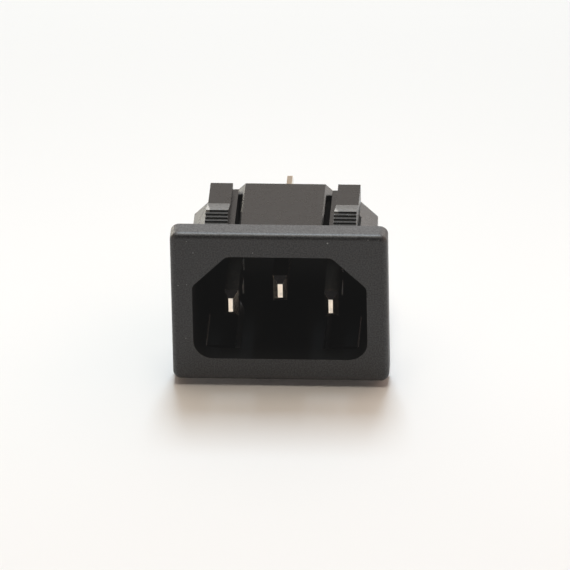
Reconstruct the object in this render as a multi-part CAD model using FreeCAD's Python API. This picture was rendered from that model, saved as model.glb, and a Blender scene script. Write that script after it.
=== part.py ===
"""Three-pole appliance inlet that snaps into a sheet-metal panel from the front.

Everything is in millimetres. The origin is the centre of the panel opening, in the plane where the
flange's rear face meets the panel. +X is to the right as seen from the front, +Y goes into the
panel and +Z is up, so the plug enters along +Y from the front.

The inlet has four pieces: one moulded housing, with its four serrated snap arms, and three contacts
that are pushed in from behind until their shoulders seat in the rear wall.
"""
import FreeCAD, Part
import math
import os

from FreeCAD import Vector

# --- plug recess: the opening that takes the connector -----------------------------------------
RECESS_WIDTH = 24.35
RECESS_HEIGHT = 16.4
RECESS_DEPTH = 16.2            # front face of the flange to the floor of the recess
RECESS_CHAMFER = 4.83          # the two cut top corners that key the plug
RECESS_TOP_RADIUS = 1.5        # where the top meets a cut corner
RECESS_SHOULDER_RADIUS = 1.0   # where a cut corner meets a side
RECESS_BOTTOM_RADIUS = 2.8

# --- walls round the recess --------------------------------------------------------------------
SIDE_WALL = 0.75
TOP_WALL = 1.5                 # top and bottom walls
CHAMFER_WALL = 1.4             # wall behind the cut corners, square to its faces
REAR_WALL = 1.95

# --- flange and the panel opening that it covers -----------------------------------------------
CUTOUT_SIDE_CLEARANCE = 0.575  # housing to the opening's left and right edges
CUTOUT_TOP_CLEARANCE = 0.3     # housing to the opening's top and bottom edges
FLANGE_SIDE_OVERLAP = 1.65     # flange past the opening, left and right
FLANGE_TOP_OVERLAP = 1.75      # flange past the opening, top and bottom
FLANGE_THICKNESS = 3.0
FLANGE_CORNER_RADIUS = 1.2
FLANGE_EDGE_RADIUS = 0.75      # rounding of the front edge, all the way round

# --- snap arms: one at each end of the top and bottom walls -------------------------------------
SHOULDER_WIDTH = 2.125         # housing side to the gap beside an arm
ARM_GAP = 0.25                 # gap along an arm's outer side
ARM_WIDTH = 3.15
LEDGE_WIDTH = 0.8              # thin strip along an arm's inner side
LEDGE_DROP = 0.98              # how far the strip lies below the arm's top
SLOT_WIDTH = 0.75              # slot between the strip and the middle of the wall
SLOT_SHORTFALL = 0.8           # slot's inner side ends this far before the recess floor
SLOT_END_SLANT = 1.3           # its outer side runs on this much further
ARM_END_GAP = 0.7              # flange to an arm's free end
ROOT_RADIUS = 0.6              # rounding under the arm where it leaves the housing
ROOT_LENGTH = 1.85             # flat part of an arm between its root and its ramp
RAMP_LENGTH = 4.85
RAMP_RISE = 1.73               # from the arm's top to the crest of the ramp
THINNEST_PANEL = 1.0           # first tooth's distance from the flange
TOOTH_COUNT = 6
TOOTH_PITCH = 0.7
TOOTH_STEP = 0.32              # height of a tooth's face towards the flange
TOOTH_SLOPE = 0.14             # rise from the foot of one tooth to the crest of the next

# --- contacts ----------------------------------------------------------------------------------
PIN_THICKNESS = 2.0
PIN_HEIGHT = 4.0
LINE_SPACING = 14.0            # between the two line pins
LINE_DROP = 1.75               # line pins below the centre
EARTH_RISE = 2.25              # earth pin above the centre
LINE_TIP_RECESS = 3.8          # front face of the flange to the tips of the line pins
EARTH_TIP_RECESS = 1.2         # the earth pin mates first
TIP_LENGTH = 0.85              # bevelled length of a pin's tip
TIP_LAND_THICKNESS = 0.7       # flat end of the tip
TIP_LAND_HEIGHT = 2.3
SEAT_LENGTH = 1.0              # shoulder of a contact, sunk in the rear wall
TAB_WIDTH = 6.3
TAB_THICKNESS = 0.8
TAB_LENGTH = 11.0              # tab behind the housing
TAB_CORNER = 1.1               # cut corners at the tab's end
TAB_HOLE_DIAMETER = 1.7
TAB_HOLE_SETBACK = 4.1         # end of the tab to the centre of its hole
CONTACT_CLEARANCE = 0.05       # round a contact, each side
COLLAR_WALL = 0.9              # low collar round each tab on the rear wall
COLLAR_HEIGHT = 0.6

# --- worked out from the sizes above ------------------------------------------------------------
recess_half_width = RECESS_WIDTH / 2
recess_half_height = RECESS_HEIGHT / 2
front_y = -FLANGE_THICKNESS
recess_floor_y = front_y + RECESS_DEPTH
rear_y = recess_floor_y + REAR_WALL

body_half_width = recess_half_width + SIDE_WALL
body_half_height = recess_half_height + TOP_WALL
flange_width = 2 * (body_half_width + CUTOUT_SIDE_CLEARANCE + FLANGE_SIDE_OVERLAP)
flange_height = 2 * (body_half_height + CUTOUT_TOP_CLEARANCE + FLANGE_TOP_OVERLAP)

# a cut corner's face is the line x + z = constant
inner_corner_sum = recess_half_width + recess_half_height - RECESS_CHAMFER
outer_corner_sum = inner_corner_sum + CHAMFER_WALL * math.sqrt(2)

# an arm across its width, from the side of the housing inwards
gap_outer_x = body_half_width - SHOULDER_WIDTH
arm_outer_x = gap_outer_x - ARM_GAP
arm_inner_x = arm_outer_x - ARM_WIDTH
ledge_inner_x = arm_inner_x - LEDGE_WIDTH
slot_inner_x = ledge_inner_x - SLOT_WIDTH
block_edge_x = ledge_inner_x - LEDGE_DROP      # the middle of the wall ends in a 45 degree edge
ledge_z = body_half_height - LEDGE_DROP

# an arm along its length, from the flange backwards
crest_y = THINNEST_PANEL + (TOOTH_COUNT - 1) * TOOTH_PITCH
crest_z = body_half_height + RAMP_RISE
ramp_foot_y = crest_y + RAMP_LENGTH
arm_root_y = ramp_foot_y + ROOT_LENGTH

shoulder_y = rear_y - SEAT_LENGTH
line_x = LINE_SPACING / 2
margin = 1.0                                   # how far a cutting block runs past what it cuts


def rounded_wire(corners, y):
    """Closed wire in the plane at depth y, through corners (x, z, radius) with each one rounded."""
    points = [Vector(x, y, z) for x, z, radius in corners]
    starts, ends, middles = [], [], []
    for index, (x, z, radius) in enumerate(corners):
        corner = points[index]
        back = (points[index - 1] - corner).normalize()
        ahead = (points[(index + 1) % len(points)] - corner).normalize()
        half_angle = back.getAngle(ahead) / 2
        reach = radius / math.tan(half_angle)
        starts.append(corner + back * reach)
        ends.append(corner + ahead * reach)
        to_centre = (back + ahead).normalize()
        middles.append(corner + to_centre * (radius / math.sin(half_angle) - radius))
    edges = []
    for index, (x, z, radius) in enumerate(corners):
        if radius > 0:
            edges.append(Part.Arc(starts[index], middles[index], ends[index]).toShape())
        following = starts[(index + 1) % len(corners)]
        edges.append(Part.LineSegment(ends[index], following).toShape())
    return Part.Wire(edges)


def prism(corners, y_from, y_to):
    """Solid with the rounded outline given by its corners, between two depths."""
    face = Part.Face(rounded_wire(corners, y_from))
    return face.extrude(Vector(0, y_to - y_from, 0))


def block(x_from, x_to, y_from, y_to, z_from, z_to):
    """Rectangular block between two opposite corners."""
    return Part.makeBox(x_to - x_from, y_to - y_from, z_to - z_from, Vector(x_from, y_from, z_from))


def rectangle(half_width, half_height, radius):
    """Corners of an upright rectangle about the centre line."""
    return [(-half_width, -half_height, radius), (half_width, -half_height, radius),
            (half_width, half_height, radius), (-half_width, half_height, radius)]


def keyed_outline(half_width, half_height, corner_sum, top_radius, side_radius, bottom_radius):
    """Corners of the inlet's six-sided shape: two cut corners at the top, two round ones below."""
    top_x = corner_sum - half_height
    side_z = corner_sum - half_width
    return [(-half_width, -half_height, bottom_radius), (half_width, -half_height, bottom_radius),
            (half_width, side_z, side_radius), (top_x, half_height, top_radius),
            (-top_x, half_height, top_radius), (-half_width, side_z, side_radius)]


def in_all_four_corners(solid):
    """The solid made for the upper right corner, with its mirror images."""
    right = [solid, solid.mirror(Vector(0, 0, 0), Vector(0, 0, 1))]
    left = [copy.mirror(Vector(0, 0, 0), Vector(1, 0, 0)) for copy in right]
    return right + left


def flange():
    """Front plate with rounded corners and a rounded front edge, still without its opening."""
    outline = rectangle(flange_width / 2, flange_height / 2, FLANGE_CORNER_RADIUS)
    plate = prism(outline, front_y, 0)
    front_edges = [edge for edge in plate.Edges if edge.BoundBox.YMax < front_y + FLANGE_EDGE_RADIUS / 2]
    return plate.makeFillet(FLANGE_EDGE_RADIUS, front_edges)


def shroud():
    """Body behind the flange, with the raised ribs that carry the snap arms, still solid inside."""
    outline = keyed_outline(body_half_width, body_half_height, outer_corner_sum,
                            0, 0, RECESS_BOTTOM_RADIUS + SIDE_WALL)
    body = prism(outline, 0, rear_y)
    channel_corners = [(block_edge_x, body_half_height, 0), (ledge_inner_x, ledge_z, 0),
                       (arm_inner_x, ledge_z, 0), (arm_inner_x, body_half_height + margin, 0),
                       (block_edge_x, body_half_height + margin, 0)]
    channel = prism(channel_corners, 0, rear_y)
    rib = block(arm_inner_x, arm_outer_x, 0, rear_y, recess_half_height - RECESS_BOTTOM_RADIUS,
                body_half_height)
    return body.cut(in_all_four_corners(channel)).fuse(in_all_four_corners(rib))


def arm_window():
    """Space round one snap arm: its inner slot, its outer gap and the room under and before it."""
    low_z = inner_corner_sum - gap_outer_x
    high_z = body_half_height + margin
    short_y = recess_floor_y - SLOT_SHORTFALL
    plan = [Vector(slot_inner_x, 0, low_z), Vector(ledge_inner_x, 0, low_z),
            Vector(ledge_inner_x, short_y + SLOT_END_SLANT, low_z), Vector(slot_inner_x, short_y, low_z)]
    slot = Part.Face(Part.makePolygon(plan + plan[:1])).extrude(Vector(0, 0, high_z - low_z))
    room = block(ledge_inner_x, gap_outer_x, 0, arm_root_y, low_z, high_z)
    return slot.fuse(room)


def latch_profile():
    """Side view of an arm as (y, z) points: flat underside, root, ramp and the row of teeth."""
    tooth_y = crest_y
    tooth_z = crest_z
    points = [(arm_root_y, body_half_height), (ramp_foot_y, body_half_height), (crest_y, crest_z)]
    for tooth in range(TOOTH_COUNT - 1):
        tooth_z -= TOOTH_STEP
        points.append((tooth_y, tooth_z))
        tooth_y -= TOOTH_PITCH
        tooth_z += TOOTH_SLOPE
        points.append((tooth_y, tooth_z))
    points.append((tooth_y, tooth_z - TOOTH_STEP))
    points.append((ARM_END_GAP, tooth_z - TOOTH_STEP))
    points.append((ARM_END_GAP, recess_half_height))
    return points


def side_view_solid(top_points, x_from, x_to):
    """Part of an arm: its (y, z) outline, closed by the rounded root below, over a range of x."""
    corner_y = arm_root_y - ROOT_RADIUS
    arc_point = Vector(x_from, corner_y + ROOT_RADIUS * math.sin(math.pi / 4),
                       recess_half_height - ROOT_RADIUS * (1 - math.cos(math.pi / 4)))
    points = [Vector(x_from, y, z) for y, z in top_points]
    low_start = Vector(x_from, corner_y, recess_half_height)
    low_end = Vector(x_from, arm_root_y, recess_half_height - ROOT_RADIUS)
    edges = [Part.LineSegment(points[i], points[i + 1]).toShape() for i in range(len(points) - 1)]
    edges.append(Part.LineSegment(points[-1], low_start).toShape())
    edges.append(Part.Arc(low_start, arc_point, low_end).toShape())
    edges.append(Part.LineSegment(low_end, points[0]).toShape())
    return Part.Face(Part.Wire(edges)).extrude(Vector(x_to - x_from, 0, 0))


def snap_arm():
    """Springy arm of the upper right corner, with its serrated latch and its thin side strip."""
    latch = side_view_solid(latch_profile(), arm_inner_x, arm_outer_x)
    strip_points = [(arm_root_y, ledge_z), (ARM_END_GAP, ledge_z), (ARM_END_GAP, recess_half_height)]
    strip = side_view_solid(strip_points, ledge_inner_x, arm_inner_x)
    return latch.fuse(strip)


def plug_recess():
    """Space that the plug fills."""
    outline = keyed_outline(recess_half_width, recess_half_height, inner_corner_sum,
                            RECESS_TOP_RADIUS, RECESS_SHOULDER_RADIUS, RECESS_BOTTOM_RADIUS)
    return prism(outline, front_y - margin, recess_floor_y)


def contact_seat(x, z):
    """Hole through the rear wall for one contact: the pin's slot and the pocket of its shoulder."""
    gap = CONTACT_CLEARANCE
    pin_slot = block(x - PIN_THICKNESS / 2 - gap, x + PIN_THICKNESS / 2 + gap,
                     recess_floor_y - margin, rear_y + margin,
                     z - PIN_HEIGHT / 2 - gap, z + PIN_HEIGHT / 2 + gap)
    pocket = block(x - PIN_THICKNESS / 2 - gap, x + PIN_THICKNESS / 2 + gap,
                   shoulder_y, rear_y + COLLAR_HEIGHT + margin,
                   z - TAB_WIDTH / 2 - gap, z + TAB_WIDTH / 2 + gap)
    return pin_slot.fuse(pocket)


def collar(x, z):
    """Low rim round one contact on the rear wall."""
    half_x = PIN_THICKNESS / 2 + CONTACT_CLEARANCE + COLLAR_WALL
    half_z = TAB_WIDTH / 2 + CONTACT_CLEARANCE + COLLAR_WALL
    corners = [(x + cx, z + cz, COLLAR_WALL) for cx, cz, radius in rectangle(half_x, half_z, 0)]
    return prism(corners, rear_y, rear_y + COLLAR_HEIGHT)


def housing():
    """The one moulded piece."""
    places = [(-line_x, -LINE_DROP), (line_x, -LINE_DROP), (0, EARTH_RISE)]
    shell = shroud().cut(in_all_four_corners(arm_window()))
    shell = shell.fuse([flange()] + in_all_four_corners(snap_arm()))
    shell = shell.fuse([collar(x, z) for x, z in places])
    shell = shell.cut([plug_recess()] + [contact_seat(x, z) for x, z in places])
    return shell.removeSplitter()


def upright(x, z, y, thickness, height):
    """Rectangular wire in the plane at depth y, centred on (x, z)."""
    corners = [(x + cx, z + cz, 0) for cx, cz, radius in rectangle(thickness / 2, height / 2, 0)]
    return rounded_wire(corners, y)


def contact(x, z, tip_recess):
    """One contact: a bevelled pin, a shoulder that stops in the rear wall and a flat tab."""
    tip_y = front_y + tip_recess
    full_y = tip_y + TIP_LENGTH
    tip = Part.makeLoft([upright(x, z, tip_y, TIP_LAND_THICKNESS, TIP_LAND_HEIGHT),
                         upright(x, z, full_y, PIN_THICKNESS, PIN_HEIGHT)], True, True)
    pin = block(x - PIN_THICKNESS / 2, x + PIN_THICKNESS / 2, full_y, shoulder_y,
                z - PIN_HEIGHT / 2, z + PIN_HEIGHT / 2)
    shoulder = block(x - PIN_THICKNESS / 2, x + PIN_THICKNESS / 2, shoulder_y, rear_y,
                     z - TAB_WIDTH / 2, z + TAB_WIDTH / 2)
    return tip.fuse([pin, shoulder, tab(x, z)]).removeSplitter()


def tab(x, z):
    """Flat push-on tab with cut corners at its end and a detent hole."""
    half = TAB_WIDTH / 2
    end_y = rear_y + TAB_LENGTH
    left = x - TAB_THICKNESS / 2
    outline = [(rear_y, z - half), (end_y - TAB_CORNER, z - half), (end_y, z - half + TAB_CORNER),
               (end_y, z + half - TAB_CORNER), (end_y - TAB_CORNER, z + half), (rear_y, z + half)]
    points = [Vector(left, y, height) for y, height in outline]
    face = Part.Face(Part.makePolygon(points + points[:1]))
    blade = face.extrude(Vector(TAB_THICKNESS, 0, 0))
    hole = Part.makeCylinder(TAB_HOLE_DIAMETER / 2, TAB_THICKNESS + 2 * margin,
                             Vector(left - margin, end_y - TAB_HOLE_SETBACK, z), Vector(1, 0, 0))
    return blade.cut(hole)


pieces = {
    "housing": housing(),
    "line_contact": contact(-line_x, -LINE_DROP, LINE_TIP_RECESS),
    "neutral_contact": contact(line_x, -LINE_DROP, LINE_TIP_RECESS),
    "earth_contact": contact(0, EARTH_RISE, EARTH_TIP_RECESS),
}

os.makedirs("parts", exist_ok=True)
for name, shape in pieces.items():
    solid = shape.Solids[0]
    print(name, "solids", len(shape.Solids), "valid", shape.isValid(), "volume", round(solid.Volume, 2))
    shape.exportStep(os.path.join("parts", name + ".step"))
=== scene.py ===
"""Snap-in three-pole appliance inlet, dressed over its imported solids.

Metres, in the part's own frame: the origin is the centre of the panel opening, +X to the right
seen from the front, +Y into the panel and +Z up.
"""
import math

import bmesh
import bpy
from mathutils import Matrix, Vector


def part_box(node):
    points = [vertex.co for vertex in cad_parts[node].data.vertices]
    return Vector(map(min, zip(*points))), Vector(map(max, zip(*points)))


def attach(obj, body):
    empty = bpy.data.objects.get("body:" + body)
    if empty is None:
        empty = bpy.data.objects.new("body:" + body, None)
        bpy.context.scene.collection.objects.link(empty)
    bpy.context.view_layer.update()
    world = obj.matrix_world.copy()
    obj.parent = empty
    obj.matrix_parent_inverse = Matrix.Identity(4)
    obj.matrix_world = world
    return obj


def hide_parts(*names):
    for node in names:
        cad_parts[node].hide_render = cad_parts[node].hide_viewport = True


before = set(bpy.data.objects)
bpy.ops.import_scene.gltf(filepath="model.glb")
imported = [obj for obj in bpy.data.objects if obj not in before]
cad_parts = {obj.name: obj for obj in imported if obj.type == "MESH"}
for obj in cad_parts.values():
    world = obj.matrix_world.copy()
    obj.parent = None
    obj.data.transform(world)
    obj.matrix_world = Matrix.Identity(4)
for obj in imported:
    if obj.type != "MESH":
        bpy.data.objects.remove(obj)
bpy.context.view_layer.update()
mm = 0.001

# --- moulded housing -----------------------------------------------------------------------------
# One shot of black glass-filled thermoplastic: flange, keyed shroud, rear wall and four serrated
# snap arms. The flange is left with a fine spark-eroded grain, and the shroud is smoother. Pushed
# into a panel, the arms bend.
flange_front_y, flange_back_y, recess_floor_y = -3.0 * mm, 0.0, 13.2 * mm
recess_half_width, recess_half_height = 12.175 * mm, 8.2 * mm
recess_diagonal = 15.545 * mm                     # x + z along the keyed upper corners
shroud_half_height = 9.7 * mm
crest = Vector((10.55, 4.5, 11.43)) * mm          # outer end of the upper right arm's last tooth
arm_inner_x, ramp_foot_y = 7.4 * mm, 9.35 * mm

PLASTIC_BLACK = (0.0125, 0.0122, 0.012, 1)
PLASTIC_BLOOM = (0.021, 0.0205, 0.0195, 1)        # where the filler shows at the skin
# painted shade: the plastic inside the recess is made darker than the rest
RECESS_PAINTED_SHADE = (0.006, 0.006, 0.006, 1)
FLANGE_GREY = (0.0075, 0.0075, 0.008, 1)
FLANGE_FLECK = (0.0355, 0.0355, 0.036, 1)         # the peaks of the spark grain
FLANGE_TOP_LIGHT_PAINT = (0.044, 0.044, 0.045, 1)            # painted light: where it faces up, the grain is painted paler, here less and here more, and so are the upward faces of the teeth of the arms
FLANGE_TOP_LIGHT_PAINT_PALE = (0.1, 0.1, 0.101, 1)           # here thinly and here more thickly
TOOTH_TOP_LIGHT_PAINT = (0.085, 0.085, 0.084, 1)             # and so do the teeth of the arms
PALE_PATCH = (0.52, 0.51, 0.48, 1)
# painted light: pale streaks on the recess floor beside two contacts
LIGHT_STREAK_PAINT = (0.80, 0.80, 0.78, 1)
SPECK_GREY = (0.34, 0.34, 0.33, 1)


class Nodes:
    """The nodes of one material or of the light tent: makes them and joins them."""

    def __init__(self, tree):
        self.tree = tree

    def node(self, kind, sockets=None, **settings):
        made = self.tree.nodes.new("ShaderNode" + kind)
        for setting, value in settings.items():
            setattr(made, setting, value)
        for socket, value in (sockets or {}).items():
            self.put(value, made.inputs[socket])
        return made

    def put(self, value, socket):
        if isinstance(value, bpy.types.NodeSocket):
            self.tree.links.new(value, socket)
        else:
            socket.default_value = value

    def math(self, operation, first, second=0.0, third=0.0):
        return self.node("Math", {0: first, 1: second, 2: third}, operation=operation).outputs[0]

    def product(self, first, *others):
        for other in others:
            first = self.math("MULTIPLY", first, other)
        return first

    def ramp(self, value, low, high):
        """0 at low and below, 1 at high and above, smooth between."""
        made = self.node("MapRange", {"Value": value, "From Min": low, "From Max": high},
                         interpolation_type="SMOOTHSTEP")
        return made.outputs["Result"]

    def spread(self, value, low, high):
        """low where the value is 0, high where it is 1."""
        made = self.node("MapRange", {"Value": value, "To Min": low, "To Max": high})
        return made.outputs["Result"]

    def number_mix(self, share, first, second):
        return self.node("Mix", {0: share, 2: first, 3: second}, data_type="FLOAT").outputs[0]

    def colour_mix(self, share, first, second):
        return self.node("Mix", {0: share, 6: first, 7: second}, data_type="RGBA").outputs[2]


class Finish(Nodes):
    """A material under construction, with the place of each point in the part's frame."""

    def __init__(self, name):
        self.material = bpy.data.materials.new(name)
        self.material.use_nodes = True
        super().__init__(self.material.node_tree)
        self.shader = self.tree.nodes["Principled BSDF"]
        self.place = self.node("TexCoord").outputs["Object"]
        self.across, self.along, self.up = self.node("SeparateXYZ", {0: self.place}).outputs

    def grain(self, size, detail=3.0, roughness=0.55):
        """Noise with lumps of about that size, in metres."""
        made = self.node("TexNoise", {"Vector": self.place, "Scale": 1 / size, "Detail": detail,
                                      "Roughness": roughness})
        return made.outputs["Fac"]

    def set(self, name, value):
        self.put(value, self.shader.inputs[name])


plastic = Finish("black_moulded_plastic")
beside = plastic.math("ABSOLUTE", plastic.across)
above = plastic.math("ABSOLUTE", plastic.up)
front_face = plastic.ramp(plastic.along, flange_front_y + 0.05 * mm, flange_front_y + 0.02 * mm)
outside_recess = front_face
for reach, wall in ((beside, recess_half_width), (above, recess_half_height),
                    (plastic.math("ADD", beside, plastic.up), recess_diagonal)):
    past_wall = plastic.ramp(reach, wall + 0.02 * mm, wall + 0.06 * mm)
    outside_recess = plastic.math("MAXIMUM", outside_recess, past_wall)
in_flange = plastic.ramp(plastic.along, flange_back_y + 0.01 * mm, flange_back_y - 0.01 * mm)
sparked = plastic.product(in_flange, outside_recess)
normal = plastic.node("NewGeometry").outputs["Normal"]
facing_up = plastic.ramp(plastic.node("SeparateXYZ", {0: normal}).outputs["Z"], 0.55, 0.95)

bloom_strength = 0.35
bloom = plastic.ramp(plastic.grain(1.6 * mm, 4.0), 0.42, 0.72)
skin = plastic.colour_mix(plastic.product(bloom, bloom_strength), PLASTIC_BLACK, PLASTIC_BLOOM)
# painted shade inside the recess: darker plastic there, and further down less gloss
skin = plastic.colour_mix(outside_recess, RECESS_PAINTED_SHADE, skin)
peaks = plastic.ramp(plastic.grain(0.2 * mm, 2.0), 0.38, 0.62)
grained = plastic.colour_mix(peaks, FLANGE_GREY, FLANGE_FLECK)
# painted light: the flange's upward faces are painted paler
painted_top_light = plastic.colour_mix(peaks, FLANGE_TOP_LIGHT_PAINT, FLANGE_TOP_LIGHT_PAINT_PALE)
skin = plastic.colour_mix(sparked, skin, plastic.colour_mix(facing_up, grained, painted_top_light))
# painted light: the upward faces of the arms' teeth are painted paler
on_teeth = plastic.product(
    plastic.ramp(above, shroud_half_height + 0.1 * mm, shroud_half_height + 0.2 * mm),
    plastic.ramp(plastic.along, crest.y, crest.y - 0.02 * mm),
    plastic.ramp(plastic.along, flange_back_y + 0.02 * mm, flange_back_y + 0.04 * mm))
skin = plastic.colour_mix(plastic.product(on_teeth, facing_up), skin, TOOTH_TOP_LIGHT_PAINT)

# pale patches at the outer corner of the upper left arm and the inner corner of the upper right
# one: each patch is a wedge that starts at its reach and widens towards the crest
whitest, inner_strength = 0.55, 0.75
outer_width, inner_width, inner_length = 0.55 * mm, 0.62 * mm, 2.4 * mm
patch_blur = 0.08 * mm
on_ramp = plastic.product(
    plastic.ramp(plastic.up, shroud_half_height + 0.05 * mm, shroud_half_height + 0.25 * mm),
    plastic.ramp(plastic.along, crest.y - 0.15 * mm, crest.y))
outer_climb = plastic.ramp(plastic.along, ramp_foot_y, crest.y)
outer_reach = plastic.math("MULTIPLY_ADD", outer_climb, outer_width, -crest.x)
outer_white = plastic.ramp(plastic.math("SUBTRACT", plastic.across, outer_reach),
                           patch_blur, -patch_blur)
inner_climb = plastic.ramp(plastic.along, crest.y + inner_length, crest.y)
inner_reach = plastic.math("MULTIPLY_ADD", inner_climb, inner_width, arm_inner_x)
inner_white = plastic.product(
    plastic.ramp(plastic.math("SUBTRACT", plastic.across, inner_reach), patch_blur, -patch_blur),
    plastic.ramp(plastic.across, arm_inner_x - 0.6 * mm, arm_inner_x - 0.2 * mm),
    plastic.ramp(plastic.along, crest.y + 2.6 * mm, crest.y + 1.6 * mm))
patches = plastic.math("MAXIMUM", outer_white, plastic.product(inner_white, inner_strength))
skin = plastic.colour_mix(plastic.product(on_ramp, patches, whitest), skin, PALE_PATCH)

# painted streaks of light on the recess floor, low beside the line and the neutral contact: for
# each side of a streak, where it starts and where it is full
contact_sides = (-6.0 * mm, 8.0 * mm)
streak_left, streak_right = (-0.30 * mm, -0.24 * mm), (-0.04 * mm, -0.08 * mm)
streak_foot, streak_top = (-7.3 * mm, -6.9 * mm), (-4.1 * mm, -5.2 * mm)
painted_streaks = 0.0
for contact_side in contact_sides:
    beyond = plastic.math("SUBTRACT", plastic.across, contact_side)
    streak = plastic.product(plastic.ramp(beyond, *streak_left), plastic.ramp(beyond, *streak_right))
    painted_streaks = plastic.math("MAXIMUM", painted_streaks, streak)
painted_streaks = plastic.product(
    painted_streaks,
    plastic.ramp(plastic.along, recess_floor_y - 0.05 * mm, recess_floor_y - 0.02 * mm),
    plastic.ramp(plastic.along, recess_floor_y + 0.05 * mm, recess_floor_y + 0.02 * mm),
    plastic.ramp(plastic.up, *streak_foot), plastic.ramp(plastic.up, *streak_top))
skin = plastic.colour_mix(painted_streaks, skin, LIGHT_STREAK_PAINT)

# specks of pale dust caught in the grain of the front face: x, z and radius in millimetres
SPECKS = [(6.85, 10.6, 0.15), (-12.8, 10.6, 0.08), (-11.9, 8.8, 0.09), (-3.6, 8.9, 0.09),
          (12.5, 11.2, 0.09), (14.0, 11.2, 0.07), (-12.9, 3.7, 0.07), (-14.1, 3.5, 0.08),
          (-13.2, -5.0, 0.08), (11.7, -11.4, 0.09)]
speck_strength, speck_core = 0.8, 0.4
on_face = plastic.node("CombineXYZ", {0: plastic.across, 2: plastic.up}).outputs[0]
dust = 0.0
for x, z, radius in SPECKS:
    away = plastic.node("VectorMath", {0: on_face, 1: (x * mm, 0, z * mm)}, operation="DISTANCE")
    speck = plastic.ramp(away.outputs["Value"], radius * mm, radius * mm * speck_core)
    dust = plastic.math("MAXIMUM", dust, speck)
skin = plastic.colour_mix(plastic.product(dust, front_face, speck_strength), skin, SPECK_GREY)

recess_gloss, shroud_gloss = 0.2, 0.5
recess_roughness, shroud_roughness, uneven = 0.5, 0.24, 0.08
flange_smoothest, flange_roughest = 0.37, 0.54
plastic.set("Base Color", skin)
plastic.set("Specular IOR Level", plastic.number_mix(outside_recess, recess_gloss, shroud_gloss))
smoothest = plastic.number_mix(outside_recess, recess_roughness, shroud_roughness)
roughest = plastic.math("ADD", smoothest, uneven)
smooth_skin = plastic.spread(plastic.grain(0.9 * mm), smoothest, roughest)
spark_skin = plastic.spread(plastic.grain(0.25 * mm), flange_smoothest, flange_roughest)
plastic.set("Roughness", plastic.number_mix(sparked, smooth_skin, spark_skin))

fine_relief, spark_relief = 0.07, 0.2
broken_edge = plastic.node("Bevel", {"Radius": 0.05 * mm}, samples=4).outputs["Normal"]
fine_skin = plastic.product(plastic.grain(0.3 * mm, 3.0, 0.6), outside_recess, fine_relief)
spark_grain = plastic.product(plastic.grain(0.16 * mm, 2.0, 0.6), spark_relief)
relief = plastic.number_mix(sparked, fine_skin, spark_grain)
bump = plastic.node("Bump", {"Height": relief, "Strength": 0.9, "Distance": 0.08 * mm,
                             "Normal": broken_edge})
plastic.set("Normal", bump.outputs["Normal"])
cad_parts["housing"].material_slots[0].material = plastic.material

# --- line, neutral and earth contacts ------------------------------------------------------------
# Each is stamped and coined from one strip of brass and plated with nickel: a pin with a bevelled
# tip, a shoulder, and a thin push-on tab with cut corners and a hole. It is pressed in from behind
# until the shoulder seats in the rear wall.
pin_width, pin_height, shoulder_height = 2.0 * mm, 4.0 * mm, 6.3 * mm
land_height, tip_length = 2.15 * mm, 0.72 * mm
shoulder_front_y, housing_rear_y = 14.15 * mm, 15.15 * mm
overlap = 0.2 * mm                                # of the pin and of the tab with the shoulder
tab_thickness, tab_cut = 0.8 * mm, 1.1 * mm
tab_hole_radius, tab_hole_setback, tab_hole_sides = 0.85 * mm, 4.1 * mm, 32
coined_edge, corner_steps = 0.003 * mm, 4
stamped_edge, edge_steps, sharp_angle = 0.07 * mm, 3, math.radians(20)
# width of the tip's flat, and how far aside and upward it was coined off centre
lands = {"line_contact": (0.6 * mm, -0.09 * mm, 0.0),
         "neutral_contact": (0.6 * mm, -0.09 * mm, 0.0),
         "earth_contact": (0.68 * mm, 0.065 * mm, -0.075 * mm)}
NICKEL = (0.90, 0.79, 0.665, 1)
NICKEL_DULLED = (0.54, 0.50, 0.43, 1)


def rounded_rings(mesh, rings):
    """A closed solid through upright rounded rectangles, each given by its centre, width, height
    and corner radius."""
    loops = []
    for (centre_x, y, centre_z), width, height, radius in rings:
        loop = []
        for side, top, start in [(1, 1, 0), (-1, 1, 90), (-1, -1, 180), (1, -1, 270)]:
            corner_x = centre_x + side * (width / 2 - radius)
            corner_z = centre_z + top * (height / 2 - radius)
            for step in range(corner_steps + 1):
                turn = math.radians(start + 90 * step / corner_steps)
                loop.append(mesh.verts.new((corner_x + radius * math.cos(turn), y,
                                            corner_z + radius * math.sin(turn))))
        loops.append(loop)
    for front, rear in zip(loops, loops[1:]):
        for i in range(len(front)):
            mesh.faces.new((front[i], front[i - 1], rear[i - 1], rear[i]))
    mesh.faces.new(loops[0])
    mesh.faces.new(loops[-1][::-1])


def pin(mesh, centre_x, centre_z, tip_y, land_width, aside, upward):
    full_y, rear_y = tip_y + tip_length, shoulder_front_y + overlap
    rounded_rings(mesh, [
        ((centre_x + aside, tip_y, centre_z + upward), land_width, land_height, coined_edge),
        ((centre_x, full_y, centre_z), pin_width, pin_height, coined_edge),
        ((centre_x, rear_y, centre_z), pin_width, pin_height, coined_edge)])


def shoulder(mesh, centre_x, centre_z):
    rounded_rings(mesh, [
        ((centre_x, shoulder_front_y, centre_z), pin_width, shoulder_height, coined_edge),
        ((centre_x, housing_rear_y, centre_z), pin_width, shoulder_height, coined_edge)])


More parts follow.
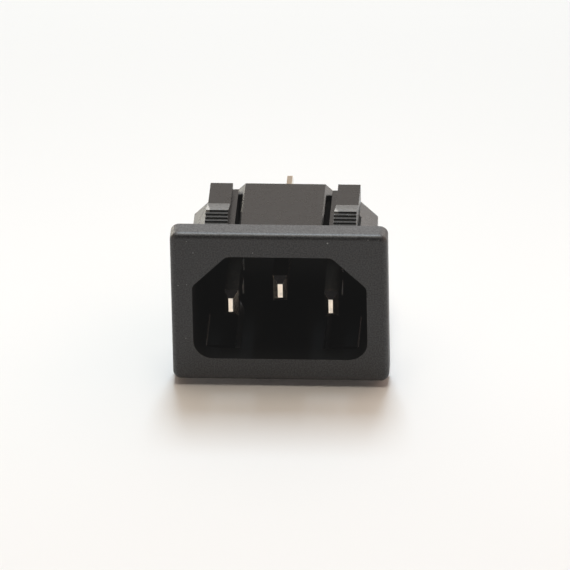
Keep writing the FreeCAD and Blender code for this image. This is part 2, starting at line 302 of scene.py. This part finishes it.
def tab(mesh, centre_x, centre_z, end_y):
    """The push-on tab: a flat blank with its hole punched, then given its thickness."""
    half, root_y = shoulder_height / 2, housing_rear_y - overlap
    outline = [(root_y, -half), (end_y - tab_cut, -half), (end_y, tab_cut - half),
               (end_y, half - tab_cut), (end_y - tab_cut, half), (root_y, half)]
    turns = [2 * math.pi * i / tab_hole_sides for i in range(tab_hole_sides)]
    hole = [(end_y - tab_hole_setback + tab_hole_radius * math.cos(turn),
             tab_hole_radius * math.sin(turn)) for turn in turns]
    edges = []
    for loop in (outline, hole):
        points = [mesh.verts.new((centre_x - tab_thickness / 2, y, centre_z + z))
                  for y, z in loop]
        edges += [mesh.edges.new(pair) for pair in zip(points, points[1:] + points[:1])]
    blank = bmesh.ops.triangle_fill(mesh, use_beauty=True, edges=edges)
    faces = [item for item in blank["geom"] if isinstance(item, bmesh.types.BMFace)]
    raised = bmesh.ops.extrude_face_region(mesh, geom=faces)
    verts = [item for item in raised["geom"] if isinstance(item, bmesh.types.BMVert)]
    bmesh.ops.translate(mesh, vec=(tab_thickness, 0, 0), verts=verts)


def break_edges(mesh):
    """The stamped blank's edges, tumbled a little round."""
    bmesh.ops.recalc_face_normals(mesh, faces=mesh.faces)
    sharp = [edge for edge in mesh.edges
             if len(edge.link_faces) == 2 and edge.calc_face_angle(0) > sharp_angle]
    bmesh.ops.bevel(mesh, geom=sharp, offset=stamped_edge, offset_type="OFFSET",
                    segments=edge_steps, profile=0.5, affect="EDGES", clamp_overlap=True)


draw_scale = (9000, 500, 9000)                    # lines drawn out along the strip
finest_line, coarsest_line = 0.13, 0.19           # roughness between and on the lines
haze_strength, handled_length = 0.6, 1 * mm
nickel = Finish("nickel_plated_brass")
drawn = nickel.node("Mapping", {"Vector": nickel.place, "Scale": draw_scale}).outputs[0]
draw_lines = nickel.node("TexNoise", {"Vector": drawn, "Scale": 1.0, "Detail": 3.0}).outputs["Fac"]
haze = nickel.product(nickel.ramp(nickel.grain(1.1 * mm, 4.0), 0.45, 0.75), haze_strength)
handled = nickel.ramp(nickel.along, housing_rear_y, housing_rear_y + handled_length)
dulled = nickel.math("MAXIMUM", haze, handled)
nickel.set("Base Color", nickel.colour_mix(dulled, NICKEL, NICKEL_DULLED))
nickel.set("Metallic", 1.0)
nickel.set("Roughness", nickel.spread(draw_lines, finest_line, coarsest_line))
scratches = nickel.node("Bump", {"Height": draw_lines, "Strength": 0.12, "Distance": 0.01 * mm})
nickel.set("Normal", scratches.outputs[0])

for name in ("line_contact", "neutral_contact", "earth_contact"):
    low, high = (Vector(corner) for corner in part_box(name))
    centre = (low + high) / 2
    stamping = bmesh.new()
    tab(stamping, centre.x, centre.z, high.y)
    break_edges(stamping)
    pin(stamping, centre.x, centre.z, low.y, *lands[name])
    shoulder(stamping, centre.x, centre.z)
    bmesh.ops.recalc_face_normals(stamping, faces=stamping.faces)
    stamping_mesh = bpy.data.meshes.new(name + "_stamping")
    stamping.to_mesh(stamping_mesh)
    stamping.free()
    piece = bpy.data.objects.new(name + "_stamping", stamping_mesh)
    bpy.context.scene.collection.objects.link(piece)
    stamping_mesh.materials.append(nickel.material)
    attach(piece, "root")
    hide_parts(name)

# --- table ---------------------------------------------------------------------------------------
# The inlet lies loose on a white sheet: on the crests of its lower arms and its lower rear edge,
# so the sheet is tipped against the part's own frame.
lower_crest = Vector((0, crest.y, -crest.z))
lower_rear_edge = Vector((0, housing_rear_y, -shroud_half_height))
tip = math.atan2(lower_rear_edge.z - lower_crest.z, lower_rear_edge.y - lower_crest.y)
sheet_left, sheet_right, sheet_front, sheet_back = -0.25, 0.25, -0.3, 0.12
far_shade_reach = (0.0, 0.075)                          # where the painted shade on the far sheet starts and where it is full, and the same for the painted shadow under the part
shadow_sides = (12.9 * mm, 12.4 * mm)             # and the same for the dark patch under the part
shadow_front, shadow_back = (-1.0 * mm, 1.5 * mm), (12.3 * mm, 11.0 * mm)
SHEET_WHITE = (0.868, 0.866, 0.86, 1)
SHEET_FAR_PAINTED_SHADE = (0.76, 0.765, 0.76, 1)
SHEET_PAINTED_SHADOW = (0.16, 0.16, 0.16, 1)

sheet_mesh = bpy.data.meshes.new("sheet")
corners = [(sheet_left, sheet_front, 0), (sheet_right, sheet_front, 0),
           (sheet_right, sheet_back, 0), (sheet_left, sheet_back, 0)]
sheet_mesh.from_pydata(corners, [], [(0, 1, 2, 3)])
sheet = bpy.data.objects.new("sheet", sheet_mesh)
bpy.context.scene.collection.objects.link(sheet)
sheet.matrix_world = Matrix.Translation(lower_crest) @ Matrix.Rotation(tip, 4, "X")
white_sheet = Finish("white_sheet")
# painted shadow: the sheet is made dark under the part, where it lies in shade
painted_shadow_under_part = white_sheet.product(
    white_sheet.ramp(white_sheet.math("ABSOLUTE", white_sheet.across), *shadow_sides),
    white_sheet.ramp(white_sheet.along, *shadow_front),
    white_sheet.ramp(white_sheet.along, *shadow_back))
# painted shade: the sheet is made darker towards the back
far_shade = white_sheet.ramp(white_sheet.along, *far_shade_reach)
sheet_colour = white_sheet.colour_mix(far_shade, SHEET_WHITE, SHEET_FAR_PAINTED_SHADE)
sheet_colour = white_sheet.colour_mix(painted_shadow_under_part, sheet_colour, SHEET_PAINTED_SHADOW)
white_sheet.set("Base Color", sheet_colour)
white_sheet.set("Roughness", 0.8)
white_sheet.set("Specular IOR Level", 0.0)
sheet_mesh.materials.append(white_sheet.material)

# --- light tent and softboxes --------------------------------------------------------------------
# A tent of white cloth stands round the sheet: bright behind and on the right, warm and dim on the
# left, and open towards the front. Two softboxes hang above it and a small panel stands rear left.
REAR_WALL_LOW, REAR_WALL_HIGH = (2.33, 2.26, 2.16, 1), (0.794, 0.69, 0.612, 1)
LEFT_WALL, RIGHT_WALL = (0.36, 0.19, 0.08, 1), (1.27, 0.83, 0.64, 1)
OPEN_FRONT = (0.01, 0.01, 0.012, 1)
FRONT_CORNER = (1.9, 1.65, 1.52, 1)               # low, on both sides of the opening
BACKDROP = (0.96, 0.96, 0.95, 1)                  # what shows past the sheet

world = bpy.data.worlds.new("light_tent")
bpy.context.scene.world = world
world.use_nodes = True
tent = Nodes(world.node_tree)
direction = tent.node("TexCoord").outputs["Generated"]
rightward, rearward, upward = tent.node("SeparateXYZ", {0: direction}).outputs
rear_wall = tent.colour_mix(tent.ramp(upward, 0.05, 0.42), REAR_WALL_LOW, REAR_WALL_HIGH)
wall = tent.colour_mix(tent.ramp(rearward, -0.2, 0.35), OPEN_FRONT, rear_wall)
front_corner = tent.colour_mix(tent.ramp(upward, 0.08, 0.34), FRONT_CORNER, OPEN_FRONT)
alongside = tent.ramp(rearward, -0.25, 0.05)
for starts, full, side_colour in ((-0.45, -0.75, LEFT_WALL), (0.45, 0.75, RIGHT_WALL)):
    side_wall = tent.colour_mix(alongside, front_corner, side_colour)
    wall = tent.colour_mix(tent.ramp(rightward, starts, full), wall, side_wall)
seen = tent.node("LightPath").outputs["Is Camera Ray"]
tent.put(tent.colour_mix(seen, wall, BACKDROP), tent.tree.nodes["Background"].inputs["Color"])


def softbox(name, place, width, height, watts, tint):
    """A rectangular light that faces the part."""
    light = bpy.data.lights.new(name, "AREA")
    light.shape = "RECTANGLE"
    light.size, light.size_y = width, height
    light.energy, light.color = watts, tint
    box = bpy.data.objects.new(name, light)
    bpy.context.scene.collection.objects.link(box)
    box.location = place
    box.rotation_euler = (-Vector(place)).to_track_quat("-Z", "Y").to_euler()
    box.visible_camera = False


softbox("overhead_softbox", (0.0, 0.2428, 0.6566), 0.18, 0.23, 3.48, (0.725, 0.876, 1.0))
softbox("overhead_fill", (0.0, -0.03, 0.694), 0.28, 0.27, 1.85, (1.0, 0.905, 0.76))
softbox("left_rear_panel", (-0.22, 0.2, 0.0), 0.12, 0.1, 0.655, (1.0, 0.94, 0.78))

# --- camera --------------------------------------------------------------------------------------
# It looks down on the flange from a little to the right and from far away, with a slight roll, and
# aims a little above the middle of the panel opening. Stray light in its lens lifts the blacks.
azimuth, elevation, roll = math.radians(3.8043), math.radians(30.1865), math.radians(-1.165)
distance, aim_right, aim_up = 1.46546, 0.5903 * mm, 1.7878 * mm
sensor_width, focal_length, nearest, farthest = 36, 662.942, 0.05, 10
stray_light = 0.0068

level_right = Vector((math.cos(azimuth), math.sin(azimuth), 0))
level_up = Vector((-math.sin(azimuth) * math.sin(elevation),
                   math.cos(azimuth) * math.sin(elevation), math.cos(elevation)))
back = level_right.cross(level_up)
right = level_right * math.cos(roll) + level_up * math.sin(roll)
up = level_up * math.cos(roll) - level_right * math.sin(roll)
camera_data = bpy.data.cameras.new("camera")
camera_data.sensor_width, camera_data.lens = sensor_width, focal_length
camera_data.clip_start, camera_data.clip_end = nearest, farthest
camera = bpy.data.objects.new("camera", camera_data)
bpy.context.scene.collection.objects.link(camera)
place = back * distance + right * aim_right + up * aim_up
camera.matrix_world = Matrix.Translation(place) @ Matrix((right, up, back)).transposed().to_4x4()
bpy.context.scene.camera = camera
tones = bpy.context.scene.view_settings
tones.view_transform = "Standard"
tones.use_curve_mapping = True
tones.curve_mapping.black_level = (-stray_light, -stray_light, -stray_light)
tones.curve_mapping.update()
